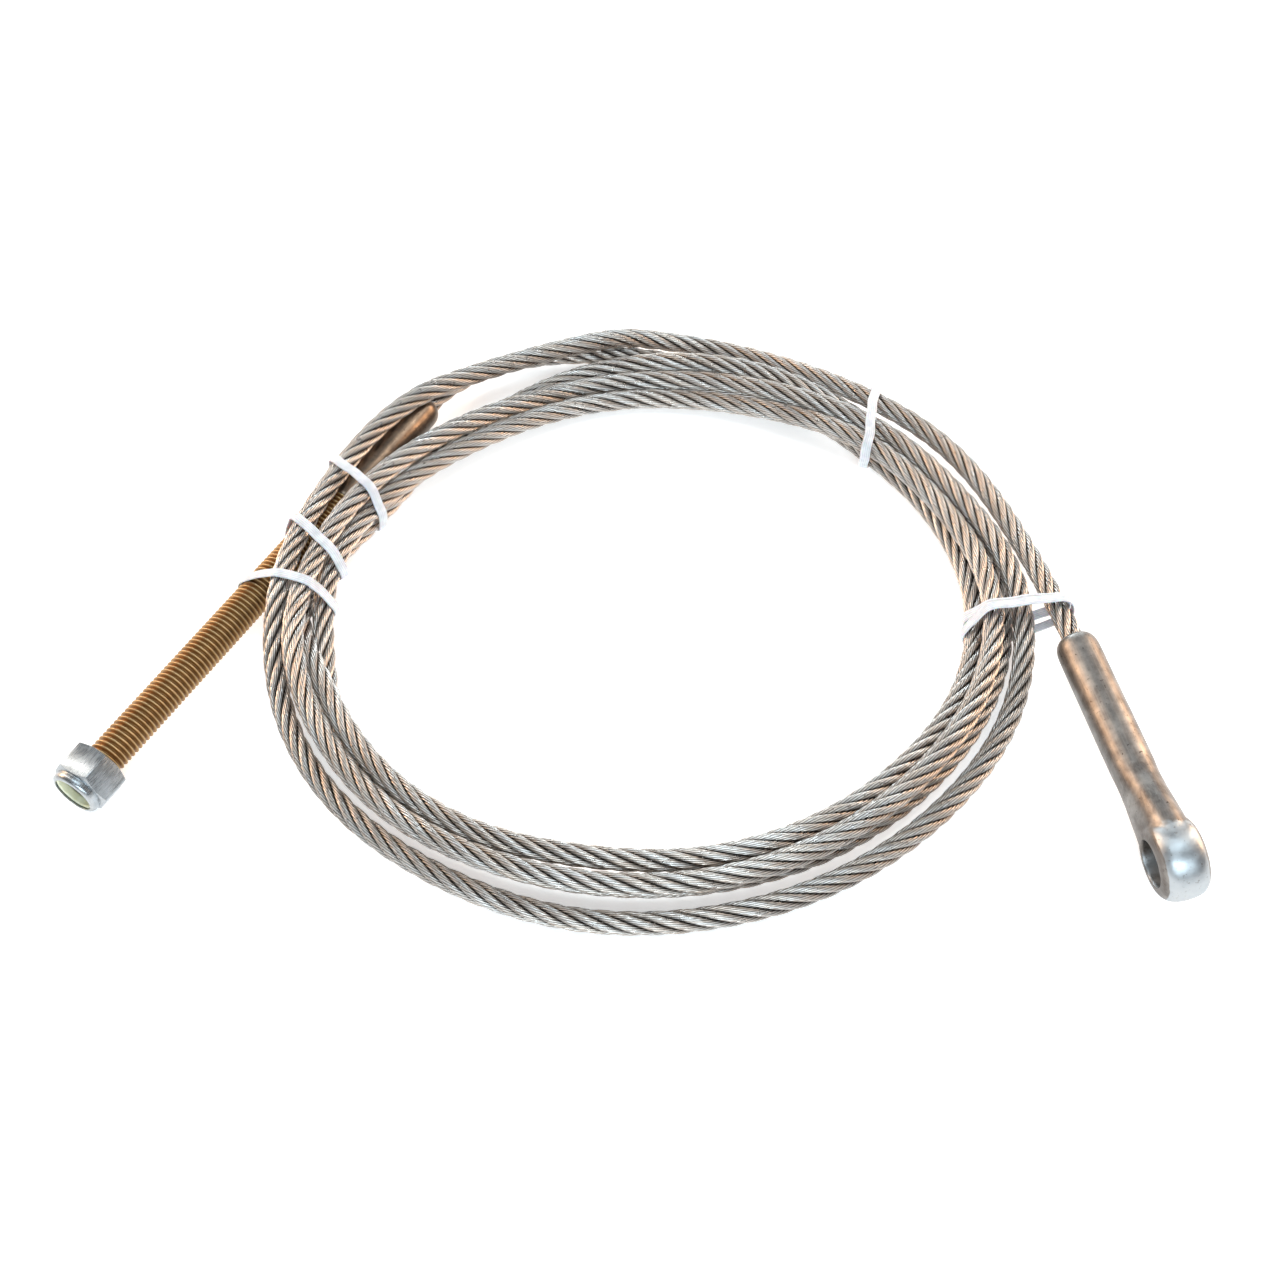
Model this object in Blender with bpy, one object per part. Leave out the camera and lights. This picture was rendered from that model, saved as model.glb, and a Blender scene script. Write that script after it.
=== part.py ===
"""Steel wire rope lift cable: a six-strand rope in a tied coil, with a swaged threaded stud and lock nut at one end and a swaged eye at the other.

Metres, +Z up. The coil lies flat, and the origin is on the ground plane under the middle of the metal and plastic pieces. Lengths below are in millimetres and MM turns them into metres.
"""

import math

import bmesh
import bpy
import numpy as np
from mathutils import Matrix, Vector

MM = 0.001

# ---- driving dimensions, mm -------------------------------------------------------------
ROPE_D = 9.53  # 3/8 in rope
ROPE_R = ROPE_D / 2
ROPE_SIDES_RESOLUTION = 2  # eight-sided tube
ROPE_STEP = 17.0  # length of one straight facet of the tube
TURN_SPACING = ROPE_D + 1.2  # centre to centre, with the clearance that the tube's facets need
GAP = 0.35  # clearance between touching pieces

BAND_THICK = 0.95
BAND_WIDTH = 4.2
ROPE_LOW = GAP + BAND_THICK + ROPE_R  # height of the lowest rope centre, so that the bands reach the ground

STUD_R = 7.9375  # 5/8 in thread
STUD_LENGTH = 250.0  # from the free end to the mouth of its rope socket
SOCKET_LENGTH = 71.0
SOCKET_R = 8.05
BORE_R = 5.1
BORE_DEPTH = 52.0
ROPE_INSIDE = 50.0  # rope held inside each fitting

NUT_FLATS = 23.81
NUT_HEX_HEIGHT = 13.4
NUT_HEIGHT = 18.0
NUT_BORE_R = 8.28
NUT_COLLAR_R = 10.9
INSERT_R = 9.75
INSERT_LOW, INSERT_HIGH = 13.5, 16.9
STUD_AXIS_Z = NUT_FLATS / 2  # the nut lies on one flat

EYE_LENGTH = 126.4
EYE_BARREL_R = 9.25
EYE_BARREL_LENGTH = 68.0
EYE_R = 17.0  # radius of the flat-sided eye
EYE_WIDTH = 19.6
EYE_HOLE_R = 9.5
EYE_AXIS_Z = 17.53  # the rolled eye rests on the rim of its coil-side face

# ---- where the two fittings lie, mm, measured from the middle of the coil -----------------
SOCKET_MOUTH = np.array([-104.0, 113.3, STUD_AXIS_Z])
STUD_HEADING = math.radians(59.95)
EYE_MOUTH = np.array([185.9, -33.0, EYE_AXIS_Z])
EYE_HEADING = math.radians(-77.87)  # direction from the mouth to the eye
EYE_ROLL = math.radians(8.0)  # the coil-side face leans down
ORIGIN = np.array([-9.853, -16.989, 0.0])  # middle of the metal and plastic pieces in coil coordinates

# ---- the rope's route: radius and height every 20 degrees, counter-clockwise --------------
STATION_DEG = 20.0
TURN_1 = [(170, 13.5), (163, 14.5), (159, 11.5), (163, 6.2), (155, 14), (151, 18.5), (151.5, 21), (151, 22), (157.6, 24), (164.5, 11), (165, 6), (163, 6), (163, 6), (162.5, 6), (163.5, 6), (166, 6), (169.5, 7), (166, 15)]
TURN_2 = [(154.5, 16.5), (146.5, 16.5), (135, 16.5), (133, 11.5), (133, 8), (127, 13.5), (128, 20), (136, 23.5), (147.2, 22.5), (154.5, 21.5), (154, 15.5), (152.5, 15.5), (151, 15.5), (151, 16), (151, 16.5), (152, 16.5), (154.5, 16), (153.5, 16)]
TURN_3 = [(144, 16), (135.5, 16.5), (128, 12.5), (126, 6.5), (123.3, 6.5), (120.5, 10.5), (122, 14.5), (131.5, 15.5), (141.5, 13.5), (145.3, 7.5), (149, 6), (148.5, 6), (146.5, 6), (147, 6), (149.5, 6), (153, 6), (158, 6), (159.5, 6)]
TURN_4 = [(152.5, 6), (152, 6.5), (146, 15), (143, 15), (144, 7), (135, 6), (131, 6.5), (132.5, 6), (149, 8), (146.5, 16.5), (147, 16), (144.5, 15.5), (140, 15.5), (141, 15.5), (142, 14.5), (143, 11), (147, 7), (148.5, 6)]
TURN_5 = [(145, 6), (139.5, 6), (142, 6), (149.5, 6), (159, 6), (163.5, 7)]


def heading(angle):
    return np.array([math.cos(angle), math.sin(angle), 0.0])


STUD_DIR = heading(STUD_HEADING)
EYE_DIR = heading(EYE_HEADING)


# ---- route ------------------------------------------------------------------------------
def spline(x, y, at):
    """Natural cubic spline through (x, y), read at the positions in at."""
    n = len(x)
    h = np.diff(x)
    m = np.zeros((n, n))
    b = np.zeros((n,) + y.shape[1:])
    m[0, 0] = m[-1, -1] = 1.0
    for i in range(1, n - 1):
        m[i, i - 1], m[i, i], m[i, i + 1] = h[i - 1], 2 * (h[i - 1] + h[i]), h[i]
        b[i] = 6 * ((y[i + 1] - y[i]) / h[i] - (y[i] - y[i - 1]) / h[i - 1])
    k = np.linalg.solve(m, b)
    i = np.clip(np.searchsorted(x, at) - 1, 0, n - 2)
    w = h[i][:, None]
    p, q = (x[i + 1] - at)[:, None], (at - x[i])[:, None]
    return (k[i] * p**3 + k[i + 1] * q**3) / (6 * w) + (y[i] / w - k[i] * w / 6) * p + (y[i + 1] / w - k[i + 1] * w / 6) * q


def run_of(points):
    return np.r_[0, np.cumsum(np.linalg.norm(np.diff(points, axis=0), axis=1))]


def even(points, step):
    """The same line with evenly spaced points."""
    run = run_of(points)
    at = np.linspace(0, run[-1], int(round(run[-1] / step)) + 1)
    return np.stack([np.interp(at, run, points[:, k]) for k in range(3)], 1)


def nearest_on(p, a, b):
    t = np.clip(((p - a) @ (b - a)) / ((b - a) @ (b - a)), 0, 1)
    return a + t[:, None] * (b - a)


def settle(points, spacing, low, rods, held, rounds):
    """Moves turns apart until they lie beside and on each other, clear of the fittings and above the ground, and spreads each move smoothly along the rope."""
    start = points.copy()
    index = np.arange(len(points))
    apart = np.abs(index[:, None] - index[None, :]) > 8
    free = (~held).astype(float)[:, None]
    for k in range(rounds):
        delta = points[None] - points[:, None]
        gap = np.sqrt((delta**2).sum(2)) + 1e-9
        lack = np.where(apart & (gap < spacing), spacing - gap, 0.0)
        count = np.maximum((lack > 0).sum(1), 1)[:, None]
        move = points - (delta / gap[:, :, None] * lack[:, :, None]).sum(1) * 0.8 / count * free
        for a, b, clear, exempt in rods:
            off = move - nearest_on(move, a, b)
            length = np.linalg.norm(off, axis=1) + 1e-9
            out = np.where(exempt | (length > clear), 0.0, clear - length)
            move = move + off / length[:, None] * out[:, None] * free
        move[:, 2] = np.maximum(move[:, 2], low)
        shift = move - start
        if k < rounds - 12:
            spread = shift.copy()
            spread[1:-1] = shift[1:-1] * 0.5 + (shift[:-2] + shift[2:]) * 0.25
            shift = spread * free
        points = start + shift
        points[:, 2] = np.where(held, points[:, 2], np.maximum(points[:, 2], low))
    return points


def rope_route():
    """The rope's centre line every 5 mm, from inside the eye's barrel to inside the stud's socket."""
    stations = np.array(TURN_1 + TURN_2 + TURN_3 + TURN_4 + TURN_5, float)
    angle = np.radians(STATION_DEG * (1 + np.arange(len(stations))))
    body = np.stack([stations[:, 0] * np.cos(angle), stations[:, 0] * np.sin(angle), stations[:, 1]], 1)
    into_eye = [EYE_MOUTH + EYE_DIR * s for s in (ROPE_INSIDE, 20.0, 0.0, -10.0)]
    into_stud = [SOCKET_MOUTH + STUD_DIR * s for s in (6.0, 0.0, -20.0, -ROPE_INSIDE)]
    knots = np.vstack([into_eye, body, into_stud])
    knot_run = np.r_[0, np.cumsum(np.linalg.norm(np.diff(knots, axis=0), axis=1) ** 0.5)]
    line = even(spline(knot_run, knots, np.linspace(0, knot_run[-1], 6000)), 5.0)
    i, n = np.arange(len(line)), len(line)
    from_eye = np.linalg.norm(line - nearest_on(line, into_eye[3], into_eye[0]), axis=1)
    from_stud = np.linalg.norm(line - nearest_on(line, into_stud[0], into_stud[3]), axis=1)
    held = ((from_eye < 1.0) & (i < 40)) | ((from_stud < 1.0) & (i > n - 40))
    own = int(ROPE_INSIDE / 5) + 16
    rods = [
        (EYE_MOUTH + EYE_DIR * 2, EYE_MOUTH + EYE_DIR * 70, EYE_BARREL_R + ROPE_R + 0.7, i < own),
        (SOCKET_MOUTH - STUD_DIR * 2, SOCKET_MOUTH - STUD_DIR * STUD_LENGTH, SOCKET_R + ROPE_R + 0.7, i > n - own),
    ]
    return settle(line, TURN_SPACING, ROPE_LOW, rods, held, 70)


# ---- helpers ----------------------------------------------------------------------------
def material(name, colour, roughness, metallic):
    made = bpy.data.materials.new(name)
    made.use_nodes = True
    shader = made.node_tree.nodes["Principled BSDF"]
    shader.inputs["Base Color"].default_value = (*colour, 1)
    shader.inputs["Roughness"].default_value = roughness
    shader.inputs["Metallic"].default_value = metallic
    made.diffuse_color = (*colour, 1)
    return made


def finish_mesh(bm, name, surface, smooth=40.0):
    bmesh.ops.recalc_face_normals(bm, faces=bm.faces)
    mesh = bpy.data.meshes.new(name)
    bm.to_mesh(mesh)
    bm.free()
    obj = bpy.data.objects.new(name, mesh)
    bpy.context.scene.collection.objects.link(obj)
    mesh.materials.append(surface)
    mesh.shade_smooth()
    mesh.set_sharp_from_angle(angle=math.radians(smooth))
    return obj


def rings_to_mesh(bm, rings, closed=False):
    """Joins rings of points, each with the same count, into a skin. Open ends get a cap."""
    made = [[bm.verts.new(Vector(p) * MM) for p in ring] for ring in rings]
    count = len(made[0])
    pairs = list(zip(made, made[1:])) + ([(made[-1], made[0])] if closed else [])
    for a, b in pairs:
        for k in range(count):
            bm.faces.new((a[k], a[(k + 1) % count], b[(k + 1) % count], b[k]))
    if not closed:
        bm.faces.new(made[0][::-1])
        bm.faces.new(made[-1])


def turned(profile, sides, closed=True, phase=0.0):
    """Rings about the X axis for a profile of (x, radius) points."""
    return [[(x, r * math.cos(phase + 2 * math.pi * k / sides), r * math.sin(phase + 2 * math.pi * k / sides)) for k in range(sides)] for x, r in profile]


def cut(obj, cutter):
    modifier = obj.modifiers.new("cut", "BOOLEAN")
    modifier.operation = "DIFFERENCE"
    modifier.object = cutter
    cutter.hide_render = True
    cutter.display_type = "WIRE"


def join(obj, other):
    modifier = obj.modifiers.new("join", "BOOLEAN")
    modifier.operation = "UNION"
    modifier.object = other
    other.hide_render = True
    other.display_type = "WIRE"


def place(obj, at, angle, roll=0.0):
    """Turns an object built along +X to a heading, after a roll about its own axis, and puts its origin at a point in coil coordinates."""
    obj.rotation_euler = (roll, 0, angle)
    obj.location = Vector(at - ORIGIN) * MM


# ---- pieces -----------------------------------------------------------------------------
def make_eye(surface):
    """Swaged barrel, flaring neck and flat-sided eye with a cross hole, forged in one piece. X runs from the rope's mouth to the tip, Y along the cross hole."""
    centre_x = EYE_LENGTH - EYE_R
    # distance along the axis, half width, half height, roundness exponent
    stations = [
        (0.0, 6.3, 6.3, 2.0), (0.7, 7.4, 7.4, 2.0), (2.0, 8.4, 8.4, 2.0), (4.0, 9.0, 9.0, 2.0), (6.5, EYE_BARREL_R, EYE_BARREL_R, 2.0),
        (EYE_BARREL_LENGTH, EYE_BARREL_R, EYE_BARREL_R, 2.0), (73.0, 8.95, 9.5, 2.05), (78.0, 8.75, 10.3, 2.1), (84.0, 8.7, 11.6, 2.2),
        (91.0, 8.85, 13.2, 2.3), (98.0, 9.1, 14.7, 2.4), (104.0, 9.3, 15.8, 2.5),
    ]
    sides = 36
    rings = []
    for x, wide, high, power in stations:
        ring = []
        for k in range(sides):
            a = 2 * math.pi * k / sides
            c, s = math.cos(a), math.sin(a)
            ring.append((x, wide * math.copysign(abs(c) ** (2 / power), c), high * math.copysign(abs(s) ** (2 / power), s)))
        rings.append(ring)
    bm = bmesh.new()
    rings_to_mesh(bm, rings)
    eye = finish_mesh(bm, "eye_fitting", surface)

    half = EYE_WIDTH / 2
    edge = 5.2  # rounding of the rim
    profile = [(-half, EYE_R - edge)]
    for k in range(1, 5):
        a = math.pi / 2 * k / 5
        profile.append((-half + edge * (1 - math.cos(a)), EYE_R - edge + edge * math.sin(a)))
    profile.append((-half + edge, EYE_R))
    profile += [(-x, r) for x, r in reversed(profile)]
    bm = bmesh.new()
    rings_to_mesh(bm, turned(profile, 48))
    disc = finish_mesh(bm, "eye_disc_form", surface)
    disc.data.transform(Matrix.Translation(Vector((centre_x, 0, 0)) * MM) @ Matrix.Rotation(math.pi / 2, 4, "Z"))
    disc.parent = eye
    join(eye, disc)

    bm = bmesh.new()
    rings_to_mesh(bm, turned([(-half - 3, EYE_HOLE_R), (half + 3, EYE_HOLE_R)], 40))
    hole = finish_mesh(bm, "eye_hole_cutter", surface)
    hole.data.transform(Matrix.Translation(Vector((centre_x, 0, 0)) * MM) @ Matrix.Rotation(math.pi / 2, 4, "Z"))
    hole.parent = eye
    cut(eye, hole)

    bm = bmesh.new()
    rings_to_mesh(bm, turned([(-3, BORE_R), (BORE_DEPTH, BORE_R)], 24))
    bore = finish_mesh(bm, "eye_bore_cutter", surface)
    bore.parent = eye
    cut(eye, bore)
    place(eye, EYE_MOUTH, EYE_HEADING, EYE_ROLL)
    return eye


def make_stud(surface):
    """Threaded rod and the socket swaged on the rope, one piece. X runs from the free end to the mouth, which is at the origin."""
    s = SOCKET_LENGTH
    profile = [
        (-STUD_LENGTH, STUD_R - 1.6), (-STUD_LENGTH + 1.4, STUD_R), (-s - 0.4, STUD_R), (-s + 0.8, SOCKET_R), (-5.0, SOCKET_R), (-2.0, SOCKET_R - 0.7), (-0.6, SOCKET_R - 1.5), (0.0, SOCKET_R - 2.2),
        (0.0, BORE_R), (-BORE_DEPTH, BORE_R), (-BORE_DEPTH - 2.0, 0.8),
    ]
    bm = bmesh.new()
    rings_to_mesh(bm, turned(profile, 32))
    stud = finish_mesh(bm, "swage_stud", surface, 30)
    place(stud, SOCKET_MOUTH, STUD_HEADING)
    return stud


def make_nut(steel, nylon):
    """Hex lock nut and its nylon ring. X = 0 is the bearing face, nearer the coil; the collar with the ring faces the stud's free end, at -X."""
    # The hex body: a hexagonal prism whose corners are turned off at 30 degrees at both ends.
    corner = NUT_FLATS / 2 / math.cos(math.pi / 6)
    bm = bmesh.new()
    hexagon = turned([(0.0, corner), (-NUT_HEX_HEIGHT - 0.9, corner)], 6, phase=0.0)
    rings_to_mesh(bm, hexagon)
    nut = finish_mesh(bm, "nut_body", steel, 25)
    # A turned envelope takes the corners off and leaves the round collar.
    turn = [(0.0, 11.3), (-0.0 - 1.35, 13.95), (-NUT_HEX_HEIGHT + 0.6, 13.95), (-NUT_HEX_HEIGHT - 0.9, 11.35)]
    bm = bmesh.new()
    rings_to_mesh(bm, turned(turn, 48, phase=math.pi / 48))
    shell = finish_mesh(bm, "nut_turning", steel)
    trim = nut.modifiers.new("turned corners", "BOOLEAN")
    trim.operation = "INTERSECT"
    trim.object = shell
    shell.hide_render = True
    shell.display_type = "WIRE"
    shell.parent = nut
    h = NUT_HEIGHT
    collar = [(-NUT_HEX_HEIGHT + 1.0, NUT_COLLAR_R), (-h + 2.2, NUT_COLLAR_R), (-h + 0.9, NUT_COLLAR_R - 0.45), (-h + 0.2, NUT_COLLAR_R - 1.3), (-h, NUT_COLLAR_R - 2.1)]
    bm = bmesh.new()
    rings_to_mesh(bm, turned(collar, 40))
    ring = finish_mesh(bm, "nut_collar_form", steel)
    ring.parent = nut
    join(nut, ring)
    bore = [(2.0, NUT_BORE_R + 2.0 + 0.9), (-1.1, NUT_BORE_R), (-INSERT_LOW + 0.3, NUT_BORE_R), (-INSERT_LOW + 0.3, INSERT_R + 0.3), (-INSERT_HIGH - 0.25, INSERT_R + 0.3), (-INSERT_HIGH - 0.3, 8.7), (-h - 2.0, 8.7)]
    bm = bmesh.new()
    rings_to_mesh(bm, turned(bore, 40))
    hollow = finish_mesh(bm, "nut_bore_cutter", steel)
    hollow.parent = nut
    cut(nut, hollow)

    inner, outer = NUT_BORE_R, INSERT_R
    section = [(-INSERT_LOW, inner + 0.2), (-INSERT_LOW, outer), (-INSERT_HIGH + 0.5, outer), (-INSERT_HIGH, outer - 0.6), (-INSERT_HIGH, inner + 0.3), (-INSERT_HIGH + 0.4, inner), (-INSERT_LOW - 0.2, inner)]
    bm = bmesh.new()
    rings_to_mesh(bm, turned(section, 40), closed=True)
    insert = finish_mesh(bm, "nut_insert", nylon)

    bearing_face = SOCKET_MOUTH - STUD_DIR * (STUD_LENGTH - 12.7)
    # One flat of the hexagon faces down, so the prism's corners point along the horizontal.
    for piece in (nut, insert):
        place(piece, bearing_face, STUD_HEADING)
    return nut, insert


def make_rope(route, steel):
    """The rope as round tubes, one for each turn of the coil."""
    angle = np.degrees(np.unwrap(np.arctan2(route[:, 1], route[:, 0])))
    run = run_of(route)
    facets = even(route, ROPE_STEP) - ORIGIN
    # Each turn ends in the middle of a straight facet, so that the faces there are parallel.
    cuts = [int(round(float(np.interp(a, angle, run)) / ROPE_STEP)) for a in (358, 718, 1078, 1438)]
    made = []
    for number, (first, last) in enumerate(zip([None] + cuts, cuts + [None]), 1):
        points = list(facets[(0 if first is None else first + 1) : (len(facets) if last is None else last + 1)])
        if first is not None:
            along = facets[first + 1] - facets[first]
            points.insert(0, facets[first] + along * (0.5 + GAP / 2 / np.linalg.norm(along)))
        if last is not None:
            along = facets[last + 1] - facets[last]
            points.append(facets[last] + along * (0.5 - GAP / 2 / np.linalg.norm(along)))
        curve = bpy.data.curves.new(f"rope_turn_{number}", "CURVE")
        curve.dimensions = "3D"
        curve.bevel_depth = ROPE_R * MM
        curve.bevel_resolution = ROPE_SIDES_RESOLUTION
        curve.use_fill_caps = True
        line = curve.splines.new("POLY")
        line.points.add(len(points) - 1)
        for point, xyz in zip(line.points, points):
            point.co = (*(Vector(xyz) * MM), 1)
        curve.materials.append(steel)
        obj = bpy.data.objects.new(f"rope_turn_{number}", curve)
        bpy.context.scene.collection.objects.link(obj)
        made.append(obj)
    return made


def rope_surface(route):
    """Points on the rope's round surface, and on both fittings, for the bands to wrap."""
    route = even(route, 1.0)
    tangent = np.gradient(route, axis=0)
    tangent /= np.linalg.norm(tangent, axis=1)[:, None]
    side = np.cross(tangent, [0, 0, 1.0])
    side /= np.linalg.norm(side, axis=1)[:, None]
    up = np.cross(side, tangent)
    shells = []
    for k in range(24):
        a = 2 * math.pi * k / 24
        shells.append(route + (side * math.cos(a) + up * math.sin(a)) * ROPE_R)
    rod = SOCKET_MOUTH - STUD_DIR * np.arange(3, STUD_LENGTH - 60, 1.0)[:, None]
    across = np.array([-STUD_DIR[1], STUD_DIR[0], 0])
    for k in range(24):
        a = 2 * math.pi * k / 24
        shells.append(rod + (across * math.cos(a) + np.array([0, 0, 1.0]) * math.sin(a)) * SOCKET_R)
    return np.vstack(shells)


def make_band(name, surface_points, outer, inner, plastic, lean=0.0):
    """A flat strap in a closed loop round all that its plane cuts. outer and inner are the ends of that plane on the ground, and lean tips it about its own top. Gives back points on the strap's outside, for another strap that crosses it."""
    outer, inner = np.array([*outer, 0.0]), np.array([*inner, 0.0])
    u = (inner - outer) / np.linalg.norm(inner - outer)
    level = np.array([-u[1], u[0], 0.0])
    top = 26.0
    middle = (outer + inner) / 2 + np.array([0, 0, top])
    v = np.array([0, 0, 1.0]) * math.cos(lean) + level * math.sin(lean)
    n = np.cross(u, v)
    rel = surface_points - middle
    near = (np.abs(rel @ n) < BAND_WIDTH / 2 + 1.2) & (np.abs(rel @ u) < np.linalg.norm(inner - outer) / 2 + 16)
    flat = np.stack([rel[near] @ u, rel[near] @ v], 1)
    count = 32
    angles = [2 * math.pi * k / count for k in range(count)]
    loops = []
    for thickness in (0.0, BAND_THICK):
        reach = []
        for a in angles:
            direction = np.array([math.cos(a), math.sin(a)])
            reach.append((flat @ direction).max() + GAP + thickness)
        loop = []
        for k in range(count):
            a, b = angles[k], angles[(k + 1) % count]
            matrix = np.array([[math.cos(a), math.sin(a)], [math.cos(b), math.sin(b)]])
            loop.append(np.linalg.solve(matrix, [reach[k], reach[(k + 1) % count]]))
        loops.append(loop)
    bm = bmesh.new()
    rings = []
    for (x0, y0), (x1, y1) in zip(loops[0], loops[1]):
        ring = []
        for x, y, w, floor in ((x0, y0, -1, BAND_THICK), (x0, y0, 1, BAND_THICK), (x1, y1, 1, 0.0), (x1, y1, -1, 0.0)):
            point = middle + u * x + v * y + n * (w * BAND_WIDTH / 2) - ORIGIN
            point[2] = max(point[2], floor)  # a leaning strap still lies flat on the ground
            ring.append(point)
        rings.append(ring)
    rings_to_mesh(bm, rings, closed=True)
    finish_mesh(bm, name, plastic, 50)
    outside = []
    for (x0, y0), (x1, y1) in zip(loops[1], loops[1][1:] + loops[1][:1]):
        for t in np.arange(0, 1, 1 / (1 + int(math.hypot(x1 - x0, y1 - y0)))):
            for w in np.linspace(-BAND_WIDTH / 2, BAND_WIDTH / 2, 5):
                outside.append(middle + u * (x0 + (x1 - x0) * t) + v * (y0 + (y1 - y0) * t) + n * w)
    return np.array(outside)


# ---- build ------------------------------------------------------------------------------
for old in list(bpy.data.objects):
    bpy.data.objects.remove(old, do_unlink=True)

rope_steel = material("galvanised rope steel", (0.55, 0.52, 0.48), 0.38, 1.0)
eye_steel = material("swaged zinc steel", (0.50, 0.45, 0.41), 0.32, 1.0)
gold_zinc = material("yellow zinc steel", (0.52, 0.33, 0.14), 0.36, 1.0)
nut_zinc = material("bright zinc steel", (0.62, 0.65, 0.68), 0.30, 1.0)
nylon = material("nylon", (0.78, 0.80, 0.62), 0.45, 0.0)
band_plastic = material("white plastic", (0.88, 0.89, 0.90), 0.42, 0.0)

route = rope_route()
make_eye(eye_steel)
make_stud(gold_zinc)
make_nut(nut_zinc, nylon)
make_rope(route, rope_steel)
skin = rope_surface(route)
make_band("band_1", skin, (-151.5, 73.3), (-121.3, 43.9), band_plastic)
make_band("band_2", skin, (-163.1, 34.2), (-136.7, 10.5), band_plastic)
make_band("band_3", skin, (-181.0, 1.8), (-139.4, -9.5), band_plastic)
make_band("band_4", skin, (114.9, 128.0), (105.5, 79.1), band_plastic)
under = make_band("band_5a", skin, (190.2, -13.0), (141.9, -17.4), band_plastic, lean=math.radians(9))
make_band("band_5b", np.vstack([skin, under]), (190.2, -14.0), (141.9, -18.4), band_plastic, lean=math.radians(-9))
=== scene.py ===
"""Looks for the wire rope lift cable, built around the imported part: six laid strands, a real thread, the lock nut, the swaged eye and the tied bands."""

import math

import bmesh
import bpy
import numpy as np
from mathutils import Matrix, Vector


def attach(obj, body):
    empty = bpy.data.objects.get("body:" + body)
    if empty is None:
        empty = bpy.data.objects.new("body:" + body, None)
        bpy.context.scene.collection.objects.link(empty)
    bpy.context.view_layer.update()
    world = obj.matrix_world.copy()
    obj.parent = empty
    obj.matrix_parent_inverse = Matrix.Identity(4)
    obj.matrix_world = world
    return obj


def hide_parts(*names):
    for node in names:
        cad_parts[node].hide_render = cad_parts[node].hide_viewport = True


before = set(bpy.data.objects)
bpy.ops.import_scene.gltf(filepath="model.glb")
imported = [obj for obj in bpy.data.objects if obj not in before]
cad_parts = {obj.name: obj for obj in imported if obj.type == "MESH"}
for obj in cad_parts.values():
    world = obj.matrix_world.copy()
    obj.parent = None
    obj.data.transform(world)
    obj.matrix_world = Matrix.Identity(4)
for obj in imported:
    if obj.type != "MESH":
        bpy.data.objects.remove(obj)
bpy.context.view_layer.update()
MM = 0.001

# ---- the part's dimensions, mm, as in the part's own source ------------------------------
ROPE_D = 9.53
ROPE_R = ROPE_D / 2
TURN_SPACING = ROPE_D + 0.22
GAP = 0.35
BAND_THICK = 0.95
BAND_WIDTH = 4.7
ROPE_LOW = GAP + BAND_THICK + ROPE_R
STUD_R = 7.9375
STUD_LENGTH = 250.0
SOCKET_LENGTH = 71.0
SOCKET_R = 8.05
BORE_R = 5.1
BORE_DEPTH = 52.0
ROPE_INSIDE = 50.0
THREAD_PITCH = 25.4 / 11
NUT_FLATS = 23.81
NUT_HEX_HEIGHT = 13.4
NUT_HEIGHT = 18.0
STUD_AXIS_Z = NUT_FLATS / 2
EYE_LENGTH = 126.4
EYE_BARREL_R = 9.25
EYE_BARREL_LENGTH = 68.0
EYE_R = 17.0
EYE_WIDTH = 19.6
EYE_HOLE_R = 9.5
EYE_AXIS_Z = 17.53

SOCKET_MOUTH = np.array([-104.0, 113.3, STUD_AXIS_Z])
STUD_HEADING = math.radians(59.95)
EYE_MOUTH = np.array([185.9, -33.0, EYE_AXIS_Z])
EYE_HEADING = math.radians(-77.87)
EYE_ROLL = math.radians(8.0)
ORIGIN = np.array([-9.853, -16.989, 0.0])

STATION_DEG = 20.0
TURN_1 = [(170, 13.5), (163, 14.5), (159, 11.5), (163, 6.2), (155, 14), (151, 18.5), (151.5, 21), (151, 22), (157.6, 24), (164.5, 11), (165, 6), (163, 6), (163, 6), (162.5, 6), (163.5, 6), (166, 6), (169.5, 7), (166, 15)]
TURN_2 = [(154.5, 16.5), (146.5, 16.5), (135, 16.5), (133, 11.5), (133, 8), (127, 13.5), (128, 20), (136, 23.5), (147.2, 22.5), (154.5, 21.5), (154, 15.5), (152.5, 15.5), (151, 15.5), (151, 16), (151, 16.5), (152, 16.5), (154.5, 16), (153.5, 16)]
TURN_3 = [(144, 16), (135.5, 16.5), (128, 12.5), (126, 6.5), (123.3, 6.5), (120.5, 10.5), (122, 14.5), (131.5, 15.5), (141.5, 13.5), (145.3, 7.5), (149, 6), (148.5, 6), (146.5, 6), (147, 6), (149.5, 6), (153, 6), (158, 6), (159.5, 6)]
TURN_4 = [(152.5, 6), (152, 6.5), (146, 15), (143, 15), (144, 7), (135, 6), (131, 6.5), (132.5, 6), (149, 8), (146.5, 16.5), (147, 16), (144.5, 15.5), (140, 15.5), (141, 15.5), (142, 14.5), (143, 11), (147, 7), (148.5, 6)]
TURN_5 = [(145, 6), (139.5, 6), (142, 6), (149.5, 6), (159, 6), (163.5, 7)]


def heading(angle):
    return np.array([math.cos(angle), math.sin(angle), 0.0])


STUD_DIR = heading(STUD_HEADING)
EYE_DIR = heading(EYE_HEADING)


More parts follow.
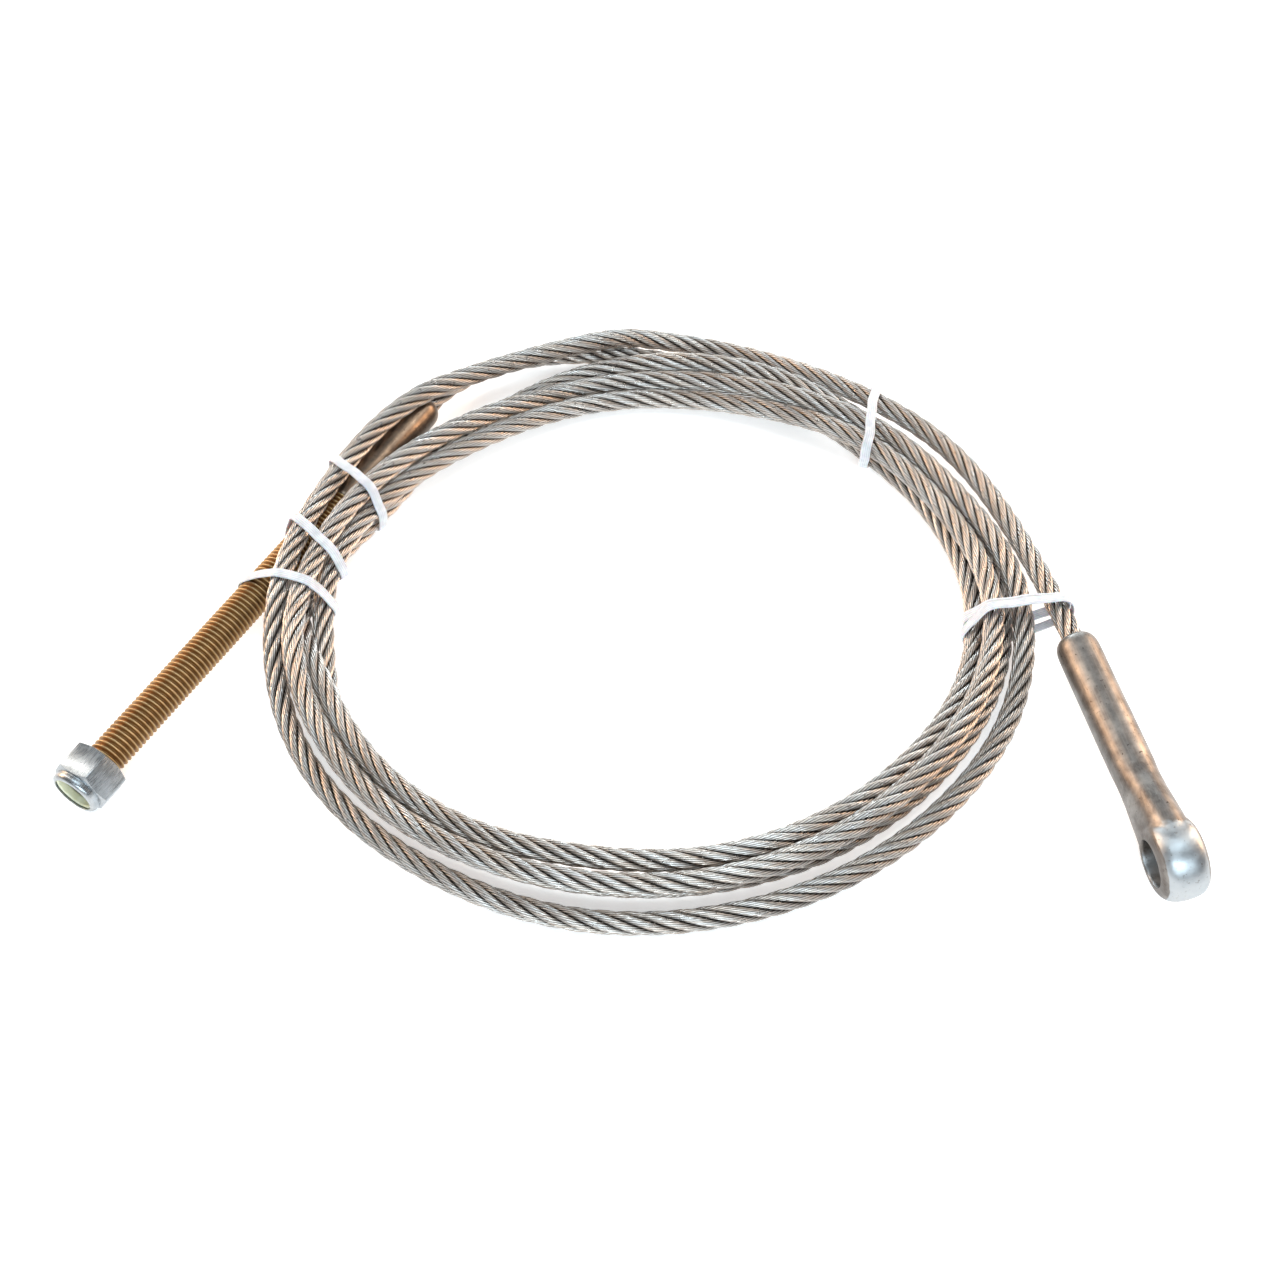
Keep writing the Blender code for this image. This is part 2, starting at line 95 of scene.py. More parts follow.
# ---- the rope's route, as in the part's own source ---------------------------------------
def spline(x, y, at):
    n = len(x)
    h = np.diff(x)
    m = np.zeros((n, n))
    b = np.zeros((n,) + y.shape[1:])
    m[0, 0] = m[-1, -1] = 1.0
    for i in range(1, n - 1):
        m[i, i - 1], m[i, i], m[i, i + 1] = h[i - 1], 2 * (h[i - 1] + h[i]), h[i]
        b[i] = 6 * ((y[i + 1] - y[i]) / h[i] - (y[i] - y[i - 1]) / h[i - 1])
    k = np.linalg.solve(m, b)
    i = np.clip(np.searchsorted(x, at) - 1, 0, n - 2)
    w = h[i][:, None]
    p, q = (x[i + 1] - at)[:, None], (at - x[i])[:, None]
    return (k[i] * p**3 + k[i + 1] * q**3) / (6 * w) + (y[i] / w - k[i] * w / 6) * p + (y[i + 1] / w - k[i + 1] * w / 6) * q


def run_of(points):
    return np.r_[0, np.cumsum(np.linalg.norm(np.diff(points, axis=0), axis=1))]


def even(points, step):
    run = run_of(points)
    at = np.linspace(0, run[-1], int(round(run[-1] / step)) + 1)
    return np.stack([np.interp(at, run, points[:, k]) for k in range(3)], 1)


def nearest_on(p, a, b):
    t = np.clip(((p - a) @ (b - a)) / ((b - a) @ (b - a)), 0, 1)
    return a + t[:, None] * (b - a)


def settle(points, spacing, low, rods, held, rounds):
    start = points.copy()
    index = np.arange(len(points))
    apart = np.abs(index[:, None] - index[None, :]) > 8
    free = (~held).astype(float)[:, None]
    for k in range(rounds):
        delta = points[None] - points[:, None]
        gap = np.sqrt((delta**2).sum(2)) + 1e-9
        lack = np.where(apart & (gap < spacing), spacing - gap, 0.0)
        count = np.maximum((lack > 0).sum(1), 1)[:, None]
        move = points - (delta / gap[:, :, None] * lack[:, :, None]).sum(1) * 0.8 / count * free
        for a, b, clear, exempt in rods:
            off = move - nearest_on(move, a, b)
            length = np.linalg.norm(off, axis=1) + 1e-9
            out = np.where(exempt | (length > clear), 0.0, clear - length)
            move = move + off / length[:, None] * out[:, None] * free
        move[:, 2] = np.maximum(move[:, 2], low)
        shift = move - start
        if k < rounds - 12:
            spread = shift.copy()
            spread[1:-1] = shift[1:-1] * 0.5 + (shift[:-2] + shift[2:]) * 0.25
            shift = spread * free
        points = start + shift
        points[:, 2] = np.where(held, points[:, 2], np.maximum(points[:, 2], low))
    return points


def rope_route():
    stations = np.array(TURN_1 + TURN_2 + TURN_3 + TURN_4 + TURN_5, float)
    angle = np.radians(STATION_DEG * (1 + np.arange(len(stations))))
    body = np.stack([stations[:, 0] * np.cos(angle), stations[:, 0] * np.sin(angle), stations[:, 1]], 1)
    into_eye = [EYE_MOUTH + EYE_DIR * s for s in (ROPE_INSIDE, 20.0, 0.0, -10.0)]
    into_stud = [SOCKET_MOUTH + STUD_DIR * s for s in (6.0, 0.0, -20.0, -ROPE_INSIDE)]
    knots = np.vstack([into_eye, body, into_stud])
    knot_run = np.r_[0, np.cumsum(np.linalg.norm(np.diff(knots, axis=0), axis=1) ** 0.5)]
    line = even(spline(knot_run, knots, np.linspace(0, knot_run[-1], 6000)), 5.0)
    i, n = np.arange(len(line)), len(line)
    from_eye = np.linalg.norm(line - nearest_on(line, into_eye[3], into_eye[0]), axis=1)
    from_stud = np.linalg.norm(line - nearest_on(line, into_stud[0], into_stud[3]), axis=1)
    held = ((from_eye < 1.0) & (i < 40)) | ((from_stud < 1.0) & (i > n - 40))
    own = int(ROPE_INSIDE / 5) + 16
    rods = [
        (EYE_MOUTH + EYE_DIR * 2, EYE_MOUTH + EYE_DIR * 70, EYE_BARREL_R + ROPE_R + 0.7, i < own),
        (SOCKET_MOUTH - STUD_DIR * 2, SOCKET_MOUTH - STUD_DIR * STUD_LENGTH, SOCKET_R + ROPE_R + 0.35, i > n - own),
    ]
    return settle(line, TURN_SPACING, ROPE_LOW, rods, held, 70)


# ---- mesh helpers ------------------------------------------------------------------------
def mesh_object(name, points, faces, surface, smooth=None):
    """An object from points in millimetres and quads or triangles."""
    mesh = bpy.data.meshes.new(name)
    mesh.from_pydata([tuple(p) for p in np.asarray(points) * MM], [], faces)
    mesh.validate()
    obj = bpy.data.objects.new(name, mesh)
    bpy.context.scene.collection.objects.link(obj)
    mesh.materials.append(surface)
    mesh.shade_smooth()
    if smooth is not None:
        mesh.set_sharp_from_angle(angle=math.radians(smooth))
    return obj


def grid_object(name, rings, surface, smooth=None, closed=False, caps=True):
    """A skin over rings of points, rings x count x 3, with flat caps or joined end to end. Quick for long pieces."""
    rings = np.asarray(rings, float)
    n, count = rings.shape[:2]
    points = rings.reshape(-1, 3) * MM
    i = np.arange(n if closed else n - 1)[:, None]
    k = np.arange(count)[None, :]
    j = (i + 1) % n
    quads = np.stack([i * count + k, i * count + (k + 1) % count, j * count + (k + 1) % count, j * count + k], -1).reshape(-1, 4)
    mesh = bpy.data.meshes.new(name)
    extra = 0 if closed or not caps else 2
    mesh.vertices.add(len(points))
    mesh.vertices.foreach_set("co", points.ravel())
    first, last = np.arange(count)[::-1], (n - 1) * count + np.arange(count)
    corner = points[quads] - points.mean(0)
    inside_out = (corner[:, 0] * np.cross(corner[:, 1], corner[:, 2])).sum() + (corner[:, 0] * np.cross(corner[:, 2], corner[:, 3])).sum() < 0
    if inside_out:
        quads, first, last = quads[:, ::-1], first[::-1], last[::-1]
    loops = quads.ravel()
    if extra:
        loops = np.r_[loops, first, last]
    mesh.loops.add(len(loops))
    mesh.loops.foreach_set("vertex_index", loops)
    starts = np.arange(0, len(quads) * 4, 4)
    if extra:
        starts = np.r_[starts, len(quads) * 4, len(quads) * 4 + count]
    mesh.polygons.add(len(starts))
    mesh.polygons.foreach_set("loop_start", starts)
    mesh.update(calc_edges=True)
    obj = bpy.data.objects.new(name, mesh)
    bpy.context.scene.collection.objects.link(obj)
    mesh.materials.append(surface)
    mesh.shade_smooth()
    if smooth is not None:
        mesh.set_sharp_from_angle(angle=math.radians(smooth))
    return obj


def turned(profile, sides, phase=0.0):
    """Rings about the X axis for a profile of (x, radius) points."""
    a = phase + 2 * np.pi * np.arange(sides) / sides
    return [np.stack([np.full(sides, x), r * np.cos(a), r * np.sin(a)], 1) for x, r in profile]


def apply_modifiers(obj):
    graph = bpy.context.evaluated_depsgraph_get()
    mesh = bpy.data.meshes.new_from_object(obj.evaluated_get(graph), preserve_all_data_layers=True, depsgraph=graph)
    obj.modifiers.clear()
    obj.data = mesh
    return obj


def boolean(obj, other, operation):
    modifier = obj.modifiers.new(operation, "BOOLEAN")
    modifier.operation = operation
    modifier.solver = "EXACT"
    modifier.object = other
    bpy.context.view_layer.update()
    apply_modifiers(obj)
    bpy.data.objects.remove(other, do_unlink=True)
    return obj


def place(obj, at, angle):
    """Turns a mesh built along +X to a heading and moves it to a point in coil coordinates. The object stays at the origin."""
    obj.data.transform(Matrix.Translation(Vector(at - ORIGIN) * MM) @ Matrix.Rotation(angle, 4, "Z"))
    return obj


def attribute(obj, name, values, kind="FLOAT"):
    layer = obj.data.attributes.new(name, kind, "POINT")
    layer.data.foreach_set("value" if kind == "FLOAT" else "vector", np.asarray(values, np.float32).ravel())


# ---- materials ---------------------------------------------------------------------------
class Nodes:
    """A small helper that adds and links shader nodes."""

    def __init__(self, name):
        self.mat = bpy.data.materials.new(name)
        self.mat.use_nodes = True
        self.tree = self.mat.node_tree
        self.bsdf = self.tree.nodes["Principled BSDF"]

    def add(self, kind, **inputs):
        node = self.tree.nodes.new(kind)
        for key, value in inputs.items():
            if hasattr(node, key) and key not in node.inputs:
                setattr(node, key, value)
            else:
                self.put(node, key, value)
        return node

    def put(self, node, key, value):
        socket = node.inputs[int(key[1:]) if key[0] == "_" else key]
        if isinstance(value, bpy.types.NodeSocket):
            self.tree.links.new(value, socket)
        else:
            socket.default_value = value

    def ramp(self, value, stops, interpolation="LINEAR"):
        node = self.add("ShaderNodeValToRGB")
        node.color_ramp.interpolation = interpolation
        while len(node.color_ramp.elements) < len(stops):
            node.color_ramp.elements.new(0.5)
        for element, (at, colour) in zip(node.color_ramp.elements, stops):
            element.position = at
            element.color = (*colour, 1) if len(colour) == 3 else colour
        self.put(node, "Fac", value)
        return node.outputs["Color"]

    def math(self, operation, a, b=0.0, clamp=False):
        node = self.add("ShaderNodeMath", operation=operation, _0=a, _1=b)
        node.use_clamp = clamp
        return node.outputs[0]

    def mix(self, factor, a, b, blend="MIX"):
        node = self.add("ShaderNodeMix", data_type="RGBA", blend_type=blend)
        self.tree.links.new(factor, node.inputs[0]) if isinstance(factor, bpy.types.NodeSocket) else setattr(node.inputs[0], "default_value", factor)
        for index, value in ((6, a), (7, b)):
            if isinstance(value, bpy.types.NodeSocket):
                self.tree.links.new(value, node.inputs[index])
            else:
                node.inputs[index].default_value = (*value, 1) if len(value) == 3 else value
        return node.outputs[2]

    def noise(self, vector, scale, detail=3.0, roughness=0.55, distortion=0.0):
        return self.add("ShaderNodeTexNoise", Vector=vector, Scale=scale, Detail=detail, Roughness=roughness, Distortion=distortion).outputs["Fac"]

    def position(self, scale=(1, 1, 1)):
        where = self.add("ShaderNodeNewGeometry").outputs["Position"]
        return self.add("ShaderNodeVectorMath", operation="MULTIPLY", _0=where, _1=scale).outputs[0]

    def attribute(self, name, output="Fac"):
        return self.add("ShaderNodeAttribute", attribute_name=name).outputs[output]

    def bump(self, height, distance, strength=1.0, normal=None):
        node = self.add("ShaderNodeBump", Height=height, Distance=distance, Strength=strength)
        if normal is not None:
            self.put(node, "Normal", normal)
        return node.outputs["Normal"]




def rope_surface_material():
    n = Nodes("galvanised strand")
    where = n.add("ShaderNodeTexCoord").outputs["Object"]
    crevice_shade = n.attribute("crevice_shade")
    wire_valley_shade = n.attribute("wire_valley_shade")
    warm_reflection_tint = n.attribute("warm_reflection_tint")
    patch = n.noise(where, 55.0, 4.0)
    fine = n.noise(where, 900.0, 2.0)
    zinc = n.ramp(patch, [(0.34, (0.60, 0.59, 0.58)), (0.52, (0.74, 0.74, 0.73)), (0.68, (0.86, 0.86, 0.85))])
    # painted reflection: a copper tint that stands in for warm light reflected in the zinc
    warm = n.mix(n.math("MULTIPLY", warm_reflection_tint, 0.5), zinc, (0.66, 0.48, 0.34))
    worn = n.mix(n.math("MULTIPLY", n.math("SUBTRACT", fine, 0.52), 0.9, clamp=True), warm, (0.40, 0.32, 0.25))
    # painted shade: darker in the valleys between the wires
    shade = n.mix(n.math("MULTIPLY", wire_valley_shade, 0.86), worn, (0.07, 0.05, 0.036))
    # painted shade: the strands are painted darker in the crevices towards the rope's core
    dark = n.mix(n.math("SMOOTH_MIN", crevice_shade, 1.0), shade, (0.035, 0.025, 0.018))
    n.put(n.bsdf, "Base Color", dark)
    n.bsdf.inputs["Metallic"].default_value = 0.92
    n.put(n.bsdf, "Roughness", n.ramp(n.noise(where, 300.0, 3.0), [(0.3, (0.24,) * 3), (0.7, (0.40,) * 3)]))
    n.put(n.bsdf, "Normal", n.bump(fine, 0.00008, 0.5))
    return n.mat


def thread_material():
    n = Nodes("yellow zinc thread")
    where = n.add("ShaderNodeTexCoord").outputs["Object"]
    crest = n.attribute("crest")
    patch = n.noise(where, 90.0, 4.0)
    gold = n.ramp(patch, [(0.3, (0.34, 0.185, 0.072)), (0.5, (0.44, 0.25, 0.10)), (0.7, (0.52, 0.32, 0.145))])
    # painted shade darkens the thread's roots; the crests are given a lighter colour
    root = n.mix(crest, (0.20, 0.105, 0.04), gold)
    tip = n.mix(n.math("MULTIPLY", n.math("SUBTRACT", crest, 0.82), 4.0, clamp=True), root, (0.52, 0.40, 0.22))
    n.put(n.bsdf, "Base Color", tip)
    n.bsdf.inputs["Metallic"].default_value = 0.95
    n.put(n.bsdf, "Roughness", n.ramp(n.noise(where, 500.0, 3.0), [(0.3, (0.36,) * 3), (0.7, (0.52,) * 3)]))
    n.put(n.bsdf, "Normal", n.bump(n.noise(where, 1400.0, 3.0), 0.00005, 0.5))
    return n.mat


def swaged_material(name, light, mid, dark, direction, roughness=(0.24, 0.44), bright=None):
    """Drawn and pressed steel: streaks along the piece, small pits and stains. direction is the heading of the piece."""
    n = Nodes(name)
    where = n.add("ShaderNodeTexCoord").outputs["Object"]
    turn = n.add("ShaderNodeVectorRotate", rotation_type="Z_AXIS", Vector=where, Angle=-direction).outputs[0]
    along = n.add("ShaderNodeVectorMath", operation="MULTIPLY", _0=turn, _1=(60.0, 1600.0, 1600.0)).outputs[0]
    streak = n.noise(along, 1.0, 4.0, 0.6)
    stain = n.noise(where, 120.0, 5.0, 0.6)
    pits = n.noise(where, 700.0, 3.0, 0.6)
    base = n.ramp(stain, [(0.32, dark), (0.50, mid), (0.68, light)])
    streaked = n.mix(n.math("MULTIPLY", n.math("SUBTRACT", streak, 0.42), 1.6, clamp=True), base, light)
    pitted = n.mix(n.ramp(pits, [(0.27, (1, 1, 1)), (0.36, (0, 0, 0))]), streaked, (0.06, 0.045, 0.035))
    colour = pitted
    if bright is not None:
        # The bulb's top, its crown, gets a painted highlight, a bright colour with a ragged edge to the browner shank;
        # painted shade keeps its flat sides and the inside of the hole dark.
        crown = n.attribute("crown")
        ragged = n.math("ADD", crown, n.math("MULTIPLY", n.math("SUBTRACT", n.noise(where, 230.0, 5.0, 0.65), 0.5), 0.55))
        mask = n.ramp(ragged, [(0.42, (0, 0, 0)), (0.56, (1, 1, 1))])
        crown_highlight = n.mix(n.ramp(n.noise(where, 620.0, 4.0, 0.6), [(0.26, (1, 1, 1)), (0.38, (0, 0, 0))]), bright, (0.20, 0.18, 0.16))
        colour = n.mix(mask, pitted, crown_highlight)
        shade = n.attribute("shade")
        colour = n.mix(shade, colour, (0.085, 0.06, 0.045))
    n.put(n.bsdf, "Base Color", colour)
    n.bsdf.inputs["Metallic"].default_value = 0.95
    n.put(n.bsdf, "Roughness", n.ramp(n.noise(where, 260.0, 4.0), [(0.3, (roughness[0],) * 3), (0.7, (roughness[1],) * 3)]))
    height = n.math("ADD", n.math("MULTIPLY", streak, 0.5), n.math("MULTIPLY", pits, 0.5))
    n.put(n.bsdf, "Normal", n.bump(height, 0.00022, 0.45))
    return n.mat


def nut_material():
    n = Nodes("bright zinc nut")
    where = n.add("ShaderNodeTexCoord").outputs["Object"]
    turn = n.add("ShaderNodeVectorRotate", rotation_type="Z_AXIS", Vector=where, Angle=-STUD_HEADING).outputs[0]
    streak = n.noise(n.add("ShaderNodeVectorMath", operation="MULTIPLY", _0=turn, _1=(180.0, 2600.0, 2600.0)).outputs[0], 1.0, 4.0, 0.6)
    cloud = n.noise(where, 160.0, 5.0, 0.6)
    base = n.ramp(cloud, [(0.34, (0.30, 0.32, 0.335)), (0.50, (0.40, 0.43, 0.45)), (0.66, (0.49, 0.52, 0.55))])
    marks = n.mix(n.ramp(n.noise(where, 650.0, 4.0, 0.65), [(0.24, (1, 1, 1)), (0.36, (0, 0, 0))]), base, (0.17, 0.13, 0.10))
    n.put(n.bsdf, "Base Color", n.mix(n.math("MULTIPLY", n.math("SUBTRACT", streak, 0.5), 1.5, clamp=True), marks, (0.55, 0.58, 0.61)))
    n.bsdf.inputs["Metallic"].default_value = 0.95
    n.put(n.bsdf, "Roughness", n.ramp(streak, [(0.3, (0.20,) * 3), (0.7, (0.38,) * 3)]))
    n.put(n.bsdf, "Normal", n.bump(n.math("ADD", streak, n.math("MULTIPLY", cloud, 0.6)), 0.00016, 0.4))
    return n.mat


def nylon_material():
    n = Nodes("nylon ring")
    where = n.add("ShaderNodeTexCoord").outputs["Object"]
    n.put(n.bsdf, "Base Color", n.ramp(n.noise(where, 260.0, 3.0), [(0.3, (0.66, 0.68, 0.46)), (0.7, (0.84, 0.85, 0.66))]))
    n.put(n.bsdf, "Roughness", n.ramp(n.noise(where, 600.0, 3.0), [(0.3, (0.32,) * 3), (0.7, (0.48,) * 3)]))
    n.bsdf.inputs["Subsurface Weight"].default_value = 0.25
    n.bsdf.inputs["Subsurface Scale"].default_value = 0.002
    n.bsdf.inputs["Subsurface Radius"].default_value = (1.0, 0.9, 0.6)
    n.put(n.bsdf, "Normal", n.bump(n.noise(where, 900.0, 3.0), 0.00008, 0.5))
    return n.mat


def band_material():
    n = Nodes("white strapping")
    where = n.add("ShaderNodeTexCoord").outputs["Object"]
    across = n.attribute("across")
    ribs = n.math("SINE", n.math("MULTIPLY", across, 2 * math.pi * 5.0))
    mist = n.noise(where, 240.0, 4.0, 0.6)
    ribbed = n.math("ADD", n.math("MULTIPLY", ribs, 0.13), mist)
    n.put(n.bsdf, "Base Color", n.ramp(ribbed, [(0.32, (0.56, 0.59, 0.63)), (0.52, (0.68, 0.71, 0.75)), (0.70, (0.78, 0.80, 0.83))]))
    n.put(n.bsdf, "Roughness", n.ramp(n.noise(where, 500.0, 3.0), [(0.3, (0.30,) * 3), (0.7, (0.48,) * 3)]))
    n.bsdf.inputs["Subsurface Weight"].default_value = 0.3
    n.bsdf.inputs["Subsurface Scale"].default_value = 0.0012
    n.put(n.bsdf, "Normal", n.bump(n.math("ADD", n.math("MULTIPLY", ribs, 0.5), n.math("MULTIPLY", n.noise(where, 1500.0, 2.0), 0.4)), 0.00010, 0.6))
    return n.mat


def floor_material():
    n = Nodes("studio floor")
    where = n.add("ShaderNodeTexCoord").outputs["Object"]
    n.put(n.bsdf, "Base Color", n.ramp(n.noise(where, 3.0, 2.0), [(0.3, (0.90, 0.90, 0.90)), (0.7, (0.92, 0.92, 0.92))]))
    n.bsdf.inputs["Roughness"].default_value = 0.75
    n.bsdf.inputs["Specular IOR Level"].default_value = 0.1
    n.bsdf.inputs["Emission Color"].default_value = (1, 1, 1, 1)
    n.bsdf.inputs["Emission Strength"].default_value = 0.46
    return n.mat


# ---- the rope: six strands of wires round the route ---------------------------------------
LAY = 6.4 * ROPE_D  # one turn of a strand round the rope
STRAND_AT = 3.26  # radius of the strands' centres
STRAND_R = 1.57  # to the crest of its wires
WIRES = 9
INSIDE = 26.0  # rope modelled inside each fitting


def frames_along(line):
    """Unit tangents and two normals that don't twist along the line."""
    tangent = np.gradient(line, axis=0)
    tangent /= np.linalg.norm(tangent, axis=1)[:, None]
    normal = np.zeros_like(line)
    n = np.cross(tangent[0], [0, 0, 1.0])
    normal[0] = n / np.linalg.norm(n)
    for i in range(1, len(line)):
        n = normal[i - 1] - tangent[i] * (normal[i - 1] @ tangent[i])
        normal[i] = n / np.linalg.norm(n)
    return tangent, normal, np.cross(tangent, normal)


def smooth_line(line, rounds):
    line = line.copy()
    for _ in range(rounds):
        line[1:-1] = line[1:-1] * 0.5 + (line[:-2] + line[2:]) * 0.25
    return line


def make_strands(line, surface):
    step = 2.06
    line = even(line, step)
    tangent, normal, binormal = frames_along(line)
    run = run_of(line)
    count = WIRES * 4
    # one wire's outline: valley, flank, crest, flank
    bundle, wire = 1.17, STRAND_R - 1.17
    offsets = np.radians(np.array([-20.0, -10.0, 0.0, 10.0]))
    radii = bundle * np.cos(offsets) + np.sqrt(np.maximum(wire**2 - (bundle * np.sin(offsets)) ** 2, 0.0))
    # painted shade per outline point: full in the valley, 0.28 on the flanks, none on the crest
    wire_valley_shade = np.array([1.0, 0.28, 0.0, 0.28])
    psi0 = np.concatenate([2 * np.pi * w / WIRES + offsets for w in range(WIRES)])
    radius = np.tile(radii, WIRES)
    rng = np.random.default_rng(11)
    strands = []
    for k in range(6):
        phi = 2 * np.pi * run / LAY + 2 * np.pi * k / 6
        out = normal * np.cos(phi)[:, None] + binormal * np.sin(phi)[:, None]
        centre = line + out * STRAND_AT
        along = np.gradient(centre, axis=0)
        along /= np.linalg.norm(along, axis=1)[:, None]
        e1 = out - along * (out * along).sum(1)[:, None]
        e1 /= np.linalg.norm(e1, axis=1)[:, None]
        e2 = np.cross(along, e1)
        psi = psi0[None, :] - 3.0 * 2 * np.pi * run[:, None] / LAY
        rings = centre[:, None, :] + radius[None, :, None] * (np.cos(psi)[:, :, None] * e1[:, None, :] + np.sin(psi)[:, :, None] * e2[:, None, :])
        obj = grid_object(f"rope_strand_{k + 1}", rings - ORIGIN, surface)
        from_axis = np.linalg.norm(rings - line[:, None, :], axis=2)
        # painted shade in the crevices between strands: 0 at 4.36 mm from the rope's axis, 1 at 3.31 mm and closer
        crevice_shade = np.clip((4.36 - from_axis) / 1.05, 0, 1)
        # painted warm reflection, spread at random over the wires and along the rope
        warm_reflection_tint = np.repeat(rng.random(WIRES), 4)[None, :] * np.ones((len(line), 1))
        slow = np.interp(run, np.linspace(0, run[-1], 240), rng.random(240))[:, None]
        attribute(obj, "crevice_shade", crevice_shade)
        attribute(obj, "wire_valley_shade", np.tile(wire_valley_shade, WIRES)[None, :] * np.ones((len(line), 1)))
        attribute(obj, "warm_reflection_tint", warm_reflection_tint * 0.6 + slow * 0.5)
        strands.append(obj)
    return strands


# ---- the stud and its sleeve --------------------------------------------------------------
def make_thread(surface):
    """The rolled thread, with rounded crests and roots, and a plain point that starts it. X = 0 is the sleeve's mouth."""
    first, last = -STUD_LENGTH, -SOCKET_LENGTH + 2.0
    per = 12
    x = np.arange(first + 2.2, last, THREAD_PITCH / per)
    sides = 46
    a = 2 * np.pi * np.arange(sides) / sides
    phase = (x[:, None] / THREAD_PITCH - a[None, :] / (2 * np.pi)) % 1.0
    # 60 degree flanks, with a narrow rounded crest and a rounded root
    height = np.clip(1.0 - np.abs(phase - 0.5) * 2.0 / 0.80, 0, 1)
    height = np.sin(height * np.pi / 2) ** 1.25
    fade = np.clip((x - first - 2.2) / 3.5, 0, 1) * np.clip((last - x) / 2.5, 0, 1)
    major, minor = 7.9, 6.62
    low = minor + (0.1 * (1 - fade))[:, None]
    r = low + (major - minor) * height * fade[:, None]
    rings = np.stack([np.broadcast_to(x[:, None], r.shape), r * np.cos(a), r * np.sin(a)], -1)
    nose = np.array(turned([(first, 0.5), (first, 3.0), (first, 5.2), (first + 0.15, 5.6), (first + 0.6, 6.1), (first + 1.4, 6.55)], sides))
    rings = np.concatenate([nose, rings])
    obj = grid_object("stud_thread", rings, surface, 50)
    crest = np.concatenate([np.full((len(nose), sides), 0.35), height * fade[:, None]])
    attribute(obj, "crest", crest)
    return place(obj, SOCKET_MOUTH, STUD_HEADING)


def make_sleeve(surface):
    """The swaged sleeve, with a bright shoulder at the thread, three faint press flats and a coned mouth round the rope."""
    s = SOCKET_LENGTH
    profile = [(-s - 1.6, 6.3), (-s - 1.2, 7.1), (-s - 0.5, 7.75), (-s + 0.3, 8.0)]
    x = np.arange(-s + 1.5, -7.0, 1.0)
    profile += [(v, SOCKET_R - 0.02 + 0.035 * math.sin(v * 0.21) + 0.02 * math.sin(v * 0.9)) for v in x]
    profile += [(-5.6, 8.03), (-4.3, 7.93), (-3.2, 7.72), (-2.2, 7.38), (-1.3, 6.95), (-0.6, 6.45), (-0.2, 6.0), (0.0, 5.6), (-0.1, 5.25), (-0.6, 5.02), (-1.5, 4.95), (-12.0, 4.95), (-12.6, 4.0)]
    sides = 64
    rings = np.array(turned(profile, sides))
    a = 2 * np.pi * np.arange(sides) / sides
    outer = (np.arange(len(profile)) >= 4) & (np.arange(len(profile)) < 4 + len(x))
    press = 1 - 0.010 * np.maximum(0, np.cos(3 * (a - 0.5))) ** 6
    rings[outer, :, 1:] *= press[None, :, None]
    obj = grid_object("stud_sleeve", rings, surface, 40)
    return place(obj, SOCKET_MOUTH, STUD_HEADING)


# ---- the lock nut -------------------------------------------------------------------------
def make_nut(steel, nylon):
    corner = NUT_FLATS / 2 / math.cos(math.pi / 6)
    h = NUT_HEIGHT
    body = grid_object("nut", np.array(turned([(0.0, corner), (-NUT_HEX_HEIGHT - 0.9, corner)], 6)), steel)
    turn = [(0.0, 11.25), (-0.25, 11.75), (-1.35, 13.95), (-NUT_HEX_HEIGHT + 0.5, 13.95), (-NUT_HEX_HEIGHT - 0.55, 12.1), (-NUT_HEX_HEIGHT - 0.9, 11.4)]
    boolean(body, grid_object("turning", np.array(turned(turn, 160, math.pi / 160)), steel), "INTERSECT")
    collar = [(-NUT_HEX_HEIGHT + 1.0, 10.8), (-NUT_HEX_HEIGHT - 1.2, 10.8), (-NUT_HEX_HEIGHT - 1.7, 10.85), (-h + 2.0, 10.9), (-h + 1.2, 10.78), (-h + 0.6, 10.4), (-h + 0.2, 9.9), (-h, 9.3), (-h + 0.02, 8.9)]
    boolean(body, grid_object("collar", np.array(turned(collar, 128)), steel), "UNION")
    bore = [(2.0, 11.18), (-1.1, 8.28), (-13.2, 8.28), (-13.2, 10.05), (-17.1, 10.05), (-17.35, 8.95), (-17.6, 8.8), (-h - 2.0, 8.8)]
    boolean(body, grid_object("bore", np.array(turned(bore, 128)), steel), "DIFFERENCE")
    bevel = body.modifiers.new("edges", "BEVEL")
    bevel.width = 0.22 * MM
    bevel.segments = 2
    bevel.limit_method = "ANGLE"
    bevel.angle_limit = math.radians(28)
    bpy.context.view_layer.update()
    apply_modifiers(body)
    body.data.shade_smooth()
    body.data.set_sharp_from_angle(angle=math.radians(32))

    section = [(-13.5, 8.3), (-13.5, 9.75), (-16.3, 9.75), (-16.95, 9.3), (-17.0, 8.75), (-16.9, 8.35), (-16.6, 8.15), (-16.1, 8.08), (-14.2, 8.08), (-13.7, 8.15)]
    ring = grid_object("nut_ring", np.array(turned(section, 96)), nylon, 50, closed=True)
    face = SOCKET_MOUTH - STUD_DIR * (STUD_LENGTH - 12.7)
    for piece in (body, ring):
        place(piece, face, STUD_HEADING)
    return body, ring


